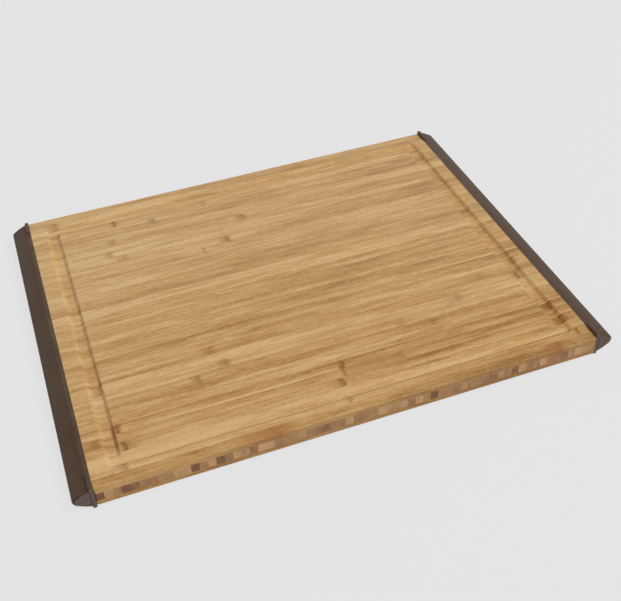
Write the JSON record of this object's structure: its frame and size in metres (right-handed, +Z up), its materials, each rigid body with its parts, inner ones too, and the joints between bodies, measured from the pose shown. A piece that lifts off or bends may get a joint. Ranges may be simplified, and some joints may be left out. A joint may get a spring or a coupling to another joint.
{
  "type": "cutting board",
  "caption": "Flat rectangular cutting board laminated from bamboo, with a juice groove round its top face, a dark tapered soft grip along each end, and a small foot at each corner, above and below.",
  "frame": {"origin": "on the table, under the middle of the board", "axes": "+X along the board from its left end to its right end, +Y from its front to its back, +Z up from the table through the grooved face"},
  "size_m": [0.361, 0.2794, 0.0175],
  "materials": {
    "face_bamboo": "oiled bamboo, satin, edge grain",
    "core_bamboo": "oiled bamboo, matt, end grain at the front and back faces",
    "rail_plastic": "dark brown moulded plastic, fine matt grain",
    "grip_rubber": "dark brown soft-touch elastomer, fine matt grain"
  },
  "bodies": {
    "root": {"top_stave_01": "face_bamboo", "top_stave_02": "face_bamboo", "top_stave_03": "face_bamboo", "top_stave_04": "face_bamboo", "top_stave_05": "face_bamboo", "top_stave_06": "face_bamboo", "top_stave_07": "face_bamboo", "top_stave_08": "face_bamboo", "top_stave_09": "face_bamboo", "top_stave_10": "face_bamboo", "top_stave_11": "face_bamboo", "top_stave_12": "face_bamboo", "top_stave_13": "face_bamboo", "top_stave_14": "face_bamboo", "top_stave_15": "face_bamboo", "top_stave_16": "face_bamboo", "top_stave_17": "face_bamboo", "top_stave_18": "face_bamboo", "top_stave_19": "face_bamboo", "bottom_stave_01": "face_bamboo", "bottom_stave_02": "face_bamboo", "bottom_stave_03": "face_bamboo", "bottom_stave_04": "face_bamboo", "bottom_stave_05": "face_bamboo", "bottom_stave_06": "face_bamboo", "bottom_stave_07": "face_bamboo", "bottom_stave_08": "face_bamboo", "bottom_stave_09": "face_bamboo", "bottom_stave_10": "face_bamboo", "bottom_stave_11": "face_bamboo", "bottom_stave_12": "face_bamboo", "bottom_stave_13": "face_bamboo", "bottom_stave_14": "face_bamboo", "bottom_stave_15": "face_bamboo", "bottom_stave_16": "face_bamboo", "bottom_stave_17": "face_bamboo", "bottom_stave_18": "face_bamboo", "bottom_stave_19": "face_bamboo", "core_stave_01": "core_bamboo", "core_stave_02": "core_bamboo", "core_stave_03": "core_bamboo", "core_stave_04": "core_bamboo", "core_stave_05": "core_bamboo", "core_stave_06": "core_bamboo", "core_stave_07": "core_bamboo", "core_stave_08": "core_bamboo", "core_stave_09": "core_bamboo", "core_stave_10": "core_bamboo", "core_stave_11": "core_bamboo", "core_stave_12": "core_bamboo", "core_stave_13": "core_bamboo", "core_stave_14": "core_bamboo", "core_stave_15": "core_bamboo", "core_stave_16": "core_bamboo", "left_rail": "rail_plastic", "right_rail": "rail_plastic", "left_grip": "grip_rubber", "right_grip": "grip_rubber"}
  },
  "joints": []
}
